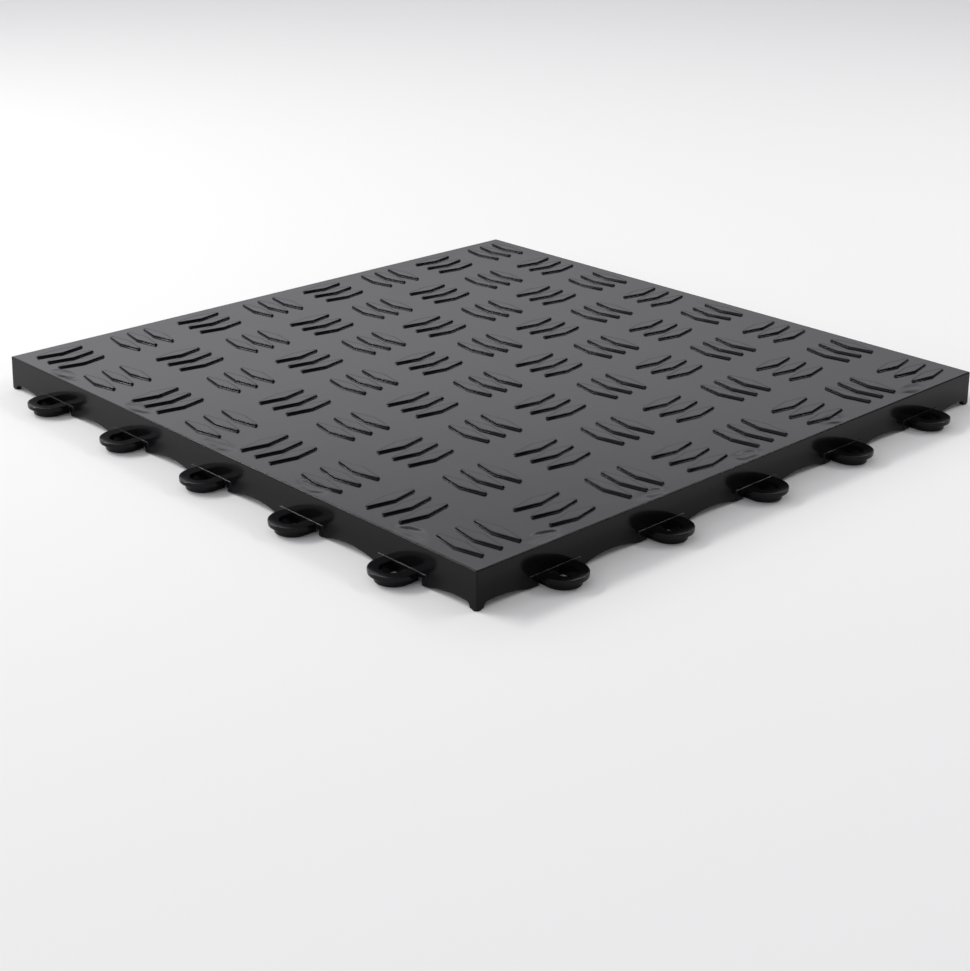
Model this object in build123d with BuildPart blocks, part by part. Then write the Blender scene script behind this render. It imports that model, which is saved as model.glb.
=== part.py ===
"""Interlocking garage floor tile, injection moulded in one piece.

Z is up, the floor is Z = 0 and the origin lies under the middle of the square body.
Loops stand out of the -X and -Y walls. Locking pegs hang inside the +X and +Y walls, where
the next tiles' loops slide under the edge. All sizes are in millimetres and degrees.
"""
from build123d import *
from math import radians, tan
import os

# Square body
side = 400.0
deck_top = 20.0
deck_thickness = 2.4
wall_thickness = 2.4
wall_draft = 1.5
edge_chamfer = 0.4

# Bottom edge of the walls: feet beside the loops, arches between them, and arches that run out in
# a rounding at a post under each corner, with their middles this far in from the end of the wall
foot_clearance = 0.6
arch_width = 38.0
arch_rise = 3.0
corner_arch_inset = 12.5
corner_post_diameter = 4.2
corner_post_sides = 16
corner_arch_radius = 2.4

# Stations of the loops and pegs, spread evenly about the middle of a wall
stations = 5
station_pitch = 75.0

# Loops on the -X and -Y walls, each rooted in a pad with a gap under it that lies a little to the
# right, seen from outside
loop_top = 6.6
loop_clearance = 0.5
loop_width = 24.8
loop_reach = 18.0
loop_hole_width = 11.6
loop_hole_reach = 12.4
loop_skirt_height = 3.9
loop_skirt_inset = 3.0
pad_width = 34.0
pad_proud = 0.5
root_gap_width = 25.4
root_gap_shift = 1.5

# Pegs inside the +X and +Y walls, hung from square bosses over the pockets for the loops
peg_clearance = 0.45
peg_foot_clearance = 0.9
peg_core_width = 5.6
peg_core_sides = 8
boss_width = 13.0
pocket_clearance = 0.8

# Ribs under the deck and posts under every fourth crossing, with one more between each four posts
rib_divisions = 10
rib_thickness = 1.6
rib_clearance = 3.6
post_spacing = 4
post_width = 5.6

# Tread: groups of three lugs, every second group turned a quarter turn
group_pitch = 50.0
lugs_in_group = 3
lug_pitch = 12.0
lug_length = 30.6
lug_width = 8.0
lug_end_width = 1.8
lug_height = 1.1
lug_draft = 12.0

# Worked out from the sizes above
half = side / 2
inner = side - 2 * wall_thickness
deck_underside = deck_top - deck_thickness
wall_slope = tan(radians(wall_draft))
floor_half = half + deck_top * wall_slope
station_places = [(n - (stations - 1) / 2) * station_pitch for n in range(stations)]
arch_places = [place + station_pitch / 2 for place in station_places[:-1]]
arch_places += [corner_arch_inset - half, half - corner_arch_inset]
arch_crown = foot_clearance + arch_rise
corner_post_pitch = 2 * floor_half - corner_post_diameter
skirt_top = loop_clearance + loop_skirt_height
pad_depth = wall_thickness / 2 + (deck_top - loop_top) * wall_slope + pad_proud
peg_radius = loop_hole_width / 2 - peg_clearance
peg_inset = loop_hole_reach - loop_hole_width / 2
boss_reach = peg_inset - wall_thickness / 2
pocket_width = loop_width + 2 * pocket_clearance
pocket_depth = loop_reach + pocket_clearance
pocket_top = loop_top + pocket_clearance
ribs = rib_divisions - 1
rib_pitch = side / rib_divisions
posts = ribs // post_spacing + 1
post_pitch = rib_pitch * post_spacing
groups = round(side / group_pitch)
loop_walls = [180, 270]
peg_walls = [0, 90]


def stations_on(walls, outward):
    """Places at all stations of the walls that face these turns about Z, with +X outward."""
    return [Location(Vector(outward, place).rotate(Axis.Z, turn), (0, 0, turn))
            for turn in walls for place in station_places]


def loop_plan(width, reach, wall_overlap, mode=Mode.ADD):
    """Plan of a loop or its hole along +X: straight arms that end in a half round."""
    bend = width / 2
    with Locations(((reach - bend - wall_overlap) / 2, 0)):
        Rectangle(reach - bend + wall_overlap, width, mode=mode)
    with Locations((reach - bend, 0)):
        Circle(bend, mode=mode)


def group_places(turned):
    """Centres of the tread groups that lie one way, like the squares of a chessboard."""
    turn = 0 if turned else 90
    return [Location(((column - (groups - 1) / 2) * group_pitch, (row - (groups - 1) / 2) * group_pitch), turn)
            for column in range(groups) for row in range(groups) if (column + row) % 2 == turned]


# Loop, with +X out of the wall: a narrower skirt under its rim and a hole with a straight wall side
with BuildPart() as loop:
    for bottom, top, inset in ((loop_clearance, skirt_top, loop_skirt_inset), (skirt_top, loop_top, 0)):
        with BuildSketch(Plane.XY.offset(bottom)):
            loop_plan(loop_width - 2 * inset, loop_reach - inset, wall_thickness / 2)
            loop_plan(loop_hole_width, loop_hole_reach, 0, mode=Mode.SUBTRACT)
        extrude(amount=top - bottom)

# Peg that drops into a loop, with +X towards the wall: a shaft hung from a square boss that runs
# into the wall
with BuildPart() as peg:
    with BuildSketch(Plane.XY.offset(peg_foot_clearance)):
        Circle(peg_radius)
    extrude(amount=pocket_top - peg_foot_clearance)
    with BuildSketch(Plane.XY.offset(pocket_top)):
        with Locations(((boss_reach - boss_width / 2) / 2, 0)):
            Rectangle(boss_reach + boss_width / 2, boss_width)
    extrude(amount=deck_underside - pocket_top)

# Group of lugs that lie side by side: long lozenges with their two points cut blunt
with BuildPart() as lug_group:
    with BuildSketch(Plane.XY.offset(deck_top)):
        with GridLocations(0, lug_pitch, 1, lugs_in_group):
            Polygon((-lug_length / 2, -lug_end_width / 2), (0, -lug_width / 2),
                    (lug_length / 2, -lug_end_width / 2), (lug_length / 2, lug_end_width / 2),
                    (0, lug_width / 2), (-lug_length / 2, lug_end_width / 2))
    extrude(amount=lug_height, taper=lug_draft)

with BuildPart() as floor_tile:
    # Deck and walls as one block, wider at the floor by the mould's draft, its edges broken
    with BuildSketch():
        Rectangle(2 * floor_half, 2 * floor_half)
    extrude(amount=deck_top, taper=wall_draft)
    chamfer(floor_tile.edges().group_by(Axis.Z)[1:], length=edge_chamfer)

    # Bottom edge of the walls, arched between the feet that stand beside each loop
    with BuildSketch(*[plane.offset(way * half) for plane in (Plane.XZ, Plane.YZ) for way in (-1, 1)]):
        for middle in arch_places:
            with BuildLine():
                bow = ThreePointArc((middle - arch_width / 2, foot_clearance), (middle, arch_crown),
                                    (middle + arch_width / 2, foot_clearance))
                Line(bow @ 1, bow @ 0)
            make_face()
        Rectangle(side - 2 * corner_post_diameter, side, mode=Mode.INTERSECT)
        arch_ends = vertices().group_by(Axis.X)
        fillet([arch_ends[way].sort_by(Axis.Y)[-1] for way in (0, -1)], radius=corner_arch_radius)
    extrude(amount=wall_thickness, both=True, mode=Mode.SUBTRACT)

    # Pads on the looped walls, then a gap through pad and wall that leaves a foot on each side of
    # the loop, then the loops
    with BuildSketch(Plane.XY.offset(foot_clearance)):
        with Locations(stations_on(loop_walls, half - wall_thickness / 2 + pad_depth / 2)):
            Rectangle(pad_depth, pad_width)
    extrude(amount=loop_top - foot_clearance)
    with BuildSketch():
        with Locations(stations_on(loop_walls, half)):
            with Locations((0, root_gap_shift)):
                Rectangle(2 * (wall_thickness + pad_proud), root_gap_width)
    extrude(amount=skirt_top, mode=Mode.SUBTRACT)
    with Locations(stations_on(loop_walls, half)):
        add(loop)

    # Underside, cut away in layers from the floor up: all but the posts, then all but the
    # walls and posts, then all but the walls, posts and ribs up to the deck
    for bottom, top, opening, rib in ((0, foot_clearance, 2 * floor_half, 0),
                                      (foot_clearance, rib_clearance, inner, 0),
                                      (rib_clearance, deck_underside, inner, rib_thickness)):
        with BuildSketch(Plane.XY.offset(bottom)):
            Rectangle(opening, opening)
            if rib:
                with GridLocations(rib_pitch, 0, ribs, 1):
                    Rectangle(rib, inner, mode=Mode.SUBTRACT)
                with GridLocations(0, rib_pitch, 1, ribs):
                    Rectangle(inner, rib, mode=Mode.SUBTRACT)
            for row in (posts, posts - 1):
                with GridLocations(post_pitch, post_pitch, row, row):
                    Rectangle(post_width, post_width, mode=Mode.SUBTRACT)
            with GridLocations(corner_post_pitch, corner_post_pitch, 2, 2):
                RegularPolygon(corner_post_diameter / 2, corner_post_sides, major_radius=False, mode=Mode.SUBTRACT)
        extrude(amount=top - bottom, mode=Mode.SUBTRACT, clean=False)

    # Pockets under the +X and +Y walls, where the next tiles' loops go in, and their pegs
    with BuildSketch():
        with Locations(stations_on(peg_walls, floor_half - pocket_depth / 2)):
            Rectangle(pocket_depth, pocket_width)
    extrude(amount=pocket_top, mode=Mode.SUBTRACT, clean=False)
    with Locations(stations_on(peg_walls, half - peg_inset)):
        add(peg, clean=False)

    # Flat-sided core of each peg, from its foot to the deck, so that no thick lump is left to sink
    with BuildSketch(Plane.XY.offset(peg_foot_clearance)):
        with Locations(stations_on(peg_walls, half - peg_inset)):
            RegularPolygon(peg_core_width / 2, peg_core_sides, major_radius=False)
    extrude(amount=deck_underside - peg_foot_clearance, mode=Mode.SUBTRACT, clean=False)

    # Lugs of the tread
    with Locations(group_places(turned=False) + group_places(turned=True)):
        add(lug_group, clean=False)

floor_tile.part.label = "floor_tile"
os.makedirs("parts", exist_ok=True)
export_step(floor_tile.part, "parts/floor_tile.step")
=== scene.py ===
# %% [markdown]
# # A black garage floor tile
#
# The tile is one injection moulding in black polypropylene: a ribbed square with raised tread
# lugs, loops on two walls and locking pegs under the other two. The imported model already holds
# every form at its real size, so this lesson is about the looks: rounding the edges that a mould
# leaves soft, giving the plastic its skin, and lighting a black, glossy thing so that it reads.

# %% Load the frame
from math import radians, sin

import bpy
from mathutils import Matrix, Vector

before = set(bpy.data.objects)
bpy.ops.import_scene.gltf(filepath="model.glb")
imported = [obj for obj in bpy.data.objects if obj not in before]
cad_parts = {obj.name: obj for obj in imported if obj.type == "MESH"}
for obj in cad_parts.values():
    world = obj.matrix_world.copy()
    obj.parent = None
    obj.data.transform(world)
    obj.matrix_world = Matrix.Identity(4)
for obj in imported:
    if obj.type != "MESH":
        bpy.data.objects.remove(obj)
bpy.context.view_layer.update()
mm = 0.001
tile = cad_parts["floor_tile"]

# %% [markdown]
# ## Two helpers
#
# Colours are written as sRGB hex, as a paint chart gives them, while shaders work in linear
# light, so one function turns one into the other. Materials here are graphs of nodes; a second
# function adds a node, sets its values and makes its links in one line.

# %% Helpers for colour and nodes
def linear(colour):
    """Linear RGBA of an sRGB hex colour: each channel undoes the sRGB curve."""
    channels = [int(colour[start:start + 2], 16) / 255 for start in (1, 3, 5)]
    return [c / 12.92 if c <= 0.04045 else ((c + 0.055) / 1.055) ** 2.4 for c in channels] + [1.0]


def add_node(tree, kind, settings=None, inputs=None):
    """Adds one node to a tree, with its settings, and its inputs as values or as links."""
    node = tree.nodes.new(kind)
    for name, value in (settings or {}).items():
        setattr(node, name, value)
    for name, value in (inputs or {}).items():
        if isinstance(value, bpy.types.NodeSocket):
            tree.links.new(value, node.inputs[name])
        else:
            node.inputs[name].default_value = value
    return node


print("black polypropylene in linear light:", [round(c, 4) for c in linear("#0D0D0E")])

# %% [markdown]
# ## Soft edges
#
# No moulded edge is sharp: the steel is cut with a small radius, and that radius is what draws
# the thin bright line along the pads and the deck's rim. It could be modelled by hand or left to
# the shader alone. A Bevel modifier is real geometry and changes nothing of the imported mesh.
# That mesh is loose triangles, so a Weld modifier joins them first, or Bevel would find no edge.
# Weighted normals then keep the flat faces flat and let only the narrow bevels turn the light.

# %% Weld and bevel the tile
weld_distance = 0.002 * mm
edge_radius = 0.22 * mm
edge_segments = 2
hard_angle = radians(30)
flat_face_weight = 100

weld = tile.modifiers.new("join triangles", "WELD")
weld.merge_threshold = weld_distance
bevel = tile.modifiers.new("mould radius", "BEVEL")
bevel.width = edge_radius
bevel.segments = edge_segments
bevel.limit_method = "ANGLE"
bevel.angle_limit = hard_angle
bevel.use_clamp_overlap = False
shading = tile.modifiers.new("flat faces, soft edges", "WEIGHTED_NORMAL")
shading.mode = "FACE_AREA"
shading.weight = flat_face_weight
tile.data.shade_smooth()

shown = tile.evaluated_get(bpy.context.evaluated_depsgraph_get())
print("triangles after the bevel:", len(shown.data.loop_triangles))

# %% [markdown]
# ## Sink marks over the loops
#
# Plastic shrinks as it cools, and most where it is thick. Behind each loop the wall meets a pad,
# so the rim of the deck above it sinks by some tenths of a millimetre, which shows as a pale
# smear beside a dark one. Such a shallow dent needs no mesh: it is a height in a bump graph. The
# five places on a wall lie one pitch apart, so wrapping the coordinate along the wall makes one
# dent do for all of them. A dent is an oval, so the distance from its middle is divided by the
# oval's half axes: it reads 1 all along the oval's edge. Plastic doesn't sink that evenly, so a
# little noise on that distance makes the edge ragged.

# %% Ovals on the rim
plastic = bpy.data.materials.new("black_polypropylene_moulded")
plastic.use_nodes = True
graph = plastic.node_tree

station_pitch = 75 * mm
sink_from_middle = 193.5 * mm
sink_half_width = 7 * mm
sink_half_length = 15 * mm

place = add_node(graph, "ShaderNodeTexCoord")
axes = add_node(graph, "ShaderNodeSeparateXYZ", inputs={"Vector": place.outputs["Object"]})
ovals = []
for outward, along in (("X", "Y"), ("Y", "X")):
    across = add_node(graph, "ShaderNodeMath", {"operation": "MULTIPLY_ADD"}, {
        0: axes.outputs[outward], 1: 1 / sink_half_width, 2: sink_from_middle / sink_half_width})
    wrapped = add_node(graph, "ShaderNodeMath", {"operation": "WRAP"}, {
        0: axes.outputs[along], 1: station_pitch / 2, 2: -station_pitch / 2})
    lengthwise = add_node(graph, "ShaderNodeMath", {"operation": "DIVIDE"}, {
        0: wrapped.outputs[0], 1: sink_half_length})
    offset = add_node(graph, "ShaderNodeCombineXYZ", inputs={
        "X": across.outputs[0], "Y": lengthwise.outputs[0]})
    ovals.append(add_node(graph, "ShaderNodeVectorMath", {"operation": "LENGTH"}, {
        0: offset.outputs[0]}))
nearest = add_node(graph, "ShaderNodeMath", {"operation": "MINIMUM"}, {
    0: ovals[0].outputs["Value"], 1: ovals[1].outputs["Value"]})
print("dents", 2 * sink_half_width / mm, "by", 2 * sink_half_length / mm, "mm")

# %% Ragged edge and smooth floor of the dents
ragged_size = 11 * mm
ragged_share = 0.6

ragged = add_node(graph, "ShaderNodeTexNoise", inputs={
    "Vector": place.outputs["Object"], "Scale": 1 / ragged_size, "Detail": 1.0})
outline = add_node(graph, "ShaderNodeMath", {"operation": "MULTIPLY_ADD"}, {
    0: ragged.outputs["Fac"], 1: ragged_share, 2: nearest.outputs[0]})
sink = add_node(graph, "ShaderNodeMapRange", {"interpolation_type": "SMOOTHERSTEP"}, {
    "Value": outline.outputs[0], "From Min": ragged_share / 2, "From Max": 1 + ragged_share / 2})
print("nodes in the graph so far:", len(graph.nodes))

# %% [markdown]
# ## Black polypropylene
#
# Polypropylene is a waxy thermoplastic with an index of refraction of about 1.49, coloured
# right through with carbon black, so almost all the light that it returns is gloss. Its skin
# copies the mould, which is fine and semi-gloss. The level of that gloss is lowered until the
# deck is as dark as in the photograph.

# %% The plastic
shader = graph.nodes["Principled BSDF"]
shader.inputs["Base Color"].default_value = linear("#0D0D0E")
shader.inputs["Roughness"].default_value = 0.14
shader.inputs["IOR"].default_value = 1.49
shader.inputs["Specular IOR Level"].default_value = 0.16
for slot in tile.material_slots:
    slot.material = plastic
print("material slots on the tile:", len(tile.material_slots))

# %% [markdown]
# The lugs are crowned: their tops fall away a little towards the edges, so that the far edge of
# each one draws a thin dark line and the lug reads as a lozenge. A Bevel node bends the normals
# near an edge in just that way, and here its radius depends on the way a face looks: wide on
# faces that look up, narrow on flanks, whose normals rise less than a limit.

# %% Crown of the lugs
flank_limit = 0.8
flank_radius = 0.3 * mm
top_radius = 1.1 * mm

facing = add_node(graph, "ShaderNodeSeparateXYZ", inputs={"Vector": place.outputs["Normal"]})
radius = add_node(graph, "ShaderNodeMapRange", inputs={
    "Value": facing.outputs["Z"], "From Min": flank_limit, "To Min": flank_radius,
    "To Max": top_radius})
crown = add_node(graph, "ShaderNodeBevel", {"samples": 8}, {"Radius": radius.outputs[0]})
print("crown radius on top and on flanks:", top_radius / mm, flank_radius / mm, "mm")

# %% [markdown]
# Three reliefs lie on that, from slow to fine, chained as bumps with their depths in
# millimetres: the waves that the shrinking ribs pull into the deck, the sink marks, and the
# mould's grain. Real grain is too fine to show from a metre away, so it is drawn 0.9 mm coarse.

# %% Relief of the skin
wave_length = 45 * mm
wave_depth = 0.03 * mm
sink_depth = 0.5 * mm
grain_size = 0.9 * mm
grain_depth = 0.002 * mm

waves = add_node(graph, "ShaderNodeTexNoise", inputs={
    "Vector": place.outputs["Object"], "Scale": 1 / wave_length, "Detail": 1.0, "Roughness": 0.4})
grain = add_node(graph, "ShaderNodeTexNoise", inputs={
    "Vector": place.outputs["Object"], "Scale": 1 / grain_size, "Detail": 2.0, "Roughness": 0.6})
normal = crown.outputs["Normal"]
for relief, depth in ((waves.outputs["Fac"], wave_depth), (sink.outputs["Result"], sink_depth),
                      (grain.outputs["Fac"], grain_depth)):
    bump = add_node(graph, "ShaderNodeBump", inputs={
        "Height": relief, "Distance": depth, "Strength": 1.0, "Normal": normal})
    normal = bump.outputs["Normal"]
graph.links.new(normal, shader.inputs["Normal"])
print("nodes in the plastic's graph:", len(graph.nodes))

# %% [markdown]
# ## Floor and light
#
# A black glossy part shows the room more than itself. The deck faces up and mirrors what stands
# behind the tile, so that has to be bright; the flanks of the lugs mirror the low horizon, so
# that has to be dark, or they would vanish. A dome that is dark near the floor and bright above
# it does both. It is brighter on one side, as a room with a window is, so that the two visible
# walls and the two kinds of lug don't come out alike.

# %% Pale floor
floor_size = 6.0
bpy.ops.mesh.primitive_plane_add(size=floor_size)
floor = bpy.context.object
floor.name = "studio_floor"
paper = bpy.data.materials.new("pale_floor_paper")
paper.use_nodes = True
paper_shader = paper.node_tree.nodes["Principled BSDF"]
paper_shader.inputs["Base Color"].default_value = linear("#F4F4F1")
paper_shader.inputs["Roughness"].default_value = 0.9
paper_shader.inputs["Specular IOR Level"].default_value = 0.1
floor.data.materials.append(paper)
print("floor:", floor_size, "metres wide")

# %% Studio dome by height
# Height above the horizon in degrees, and the level of the light there
dome_stops = ((0, 0.08), (7, 0.12), (13, 0.6), (17, 1.1),
              (20, 1.4), (26, 1.25), (40, 0.5), (90, 0.4))
dome_tint = (1.0, 0.99, 1.05)
brightest = max(level for _, level in dome_stops)

world = bpy.data.worlds.new("studio dome")
world.use_nodes = True
bpy.context.scene.world = world
sky = world.node_tree
direction = add_node(sky, "ShaderNodeTexCoord").outputs["Generated"]
height = add_node(sky, "ShaderNodeSeparateXYZ", inputs={"Vector": direction})
ramp = add_node(sky, "ShaderNodeValToRGB", inputs={"Fac": height.outputs["Z"]})
while len(ramp.color_ramp.elements) < len(dome_stops):
    ramp.color_ramp.elements.new(1.0)
for stop, (elevation, level) in zip(ramp.color_ramp.elements, dome_stops):
    stop.position = sin(radians(elevation))
    stop.color = [level / brightest * share for share in dome_tint] + [1.0]
print("dome levels by height in degrees:", dome_stops)

# %% Its brighter side
bright_side = Vector((-1.0, 1.0, 0.0)).normalized()
side_contrast = 0.9

sideways = add_node(sky, "ShaderNodeVectorMath", {"operation": "DOT_PRODUCT"}, {
    0: direction, 1: bright_side})
strength = add_node(sky, "ShaderNodeMath", {"operation": "MULTIPLY_ADD"}, {
    0: sideways.outputs["Value"], 1: side_contrast * brightest, 2: brightest})
background = sky.nodes["Background"]
sky.links.new(ramp.outputs["Color"], background.inputs["Color"])
sky.links.new(strength.outputs[0], background.inputs["Strength"])
bpy.context.scene.view_settings.view_transform = "Standard"
print("brightest towards", [round(v, 2) for v in bright_side])

# %% [markdown]
# Edges face every way between a wall and the deck, so somewhere on its radius each one mirrors a
# lamp that stands high. Two narrow softboxes, one for each of the two visible walls, put the
# glints on the pads, the loops and the deck's rim. A third and weaker one stands behind the tile,
# just above what the flat deck mirrors, where only the slopes of the sink marks find it.

# %% Softboxes
softbox_distance = 1.7
# Name, direction from the tile, size in metres and power in watts
softboxes = (("left softbox", (-0.39, 0.66, 0.66), (0.9, 0.12), 12.0),
             ("right softbox", (0.66, -0.39, 0.66), (0.9, 0.12), 5.0),
             ("back softbox", (0.58, 0.58, 0.56), (1.5, 0.12), 1.0))

for name, toward, size, power in softboxes:
    softbox = bpy.data.lights.new(name, "AREA")
    softbox.shape = "RECTANGLE"
    softbox.size, softbox.size_y = size
    softbox.energy = power
    lamp = bpy.data.objects.new(name, softbox)
    aim = Vector(toward).normalized()
    lamp.matrix_world = (Matrix.Translation(aim * softbox_distance)
                         @ aim.to_track_quat("Z", "Y").to_matrix().to_4x4())
    bpy.context.scene.collection.objects.link(lamp)
    print(name, "at", [round(v, 2) for v in lamp.location])

# %% [markdown]
# ## Camera
#
# The picture was taken from about a metre away, low over the near corner, with a longish lens.
# Heading, tilt and roll are three turns applied one after the other, which keeps each of them
# readable.

# %% Camera at the photograph's angle
camera_place = (-0.69314, -0.71415, 0.36165)
camera_heading = radians(-44.06)
camera_below_horizon = radians(22.85)
camera_roll = radians(0.615)
lens = 66.016

camera = bpy.data.objects.new("camera", bpy.data.cameras.new("camera"))
bpy.context.scene.collection.objects.link(camera)
camera.data.lens = lens
camera.data.clip_start = 0.01
camera.matrix_world = (Matrix.Translation(camera_place)
                       @ Matrix.Rotation(camera_heading, 4, "Z")
                       @ Matrix.Rotation(radians(90) - camera_below_horizon, 4, "X")
                       @ Matrix.Rotation(camera_roll, 4, "Z"))
bpy.context.scene.camera = camera
print("camera", [round(v, 3) for v in camera.location], "lens", camera.data.lens)
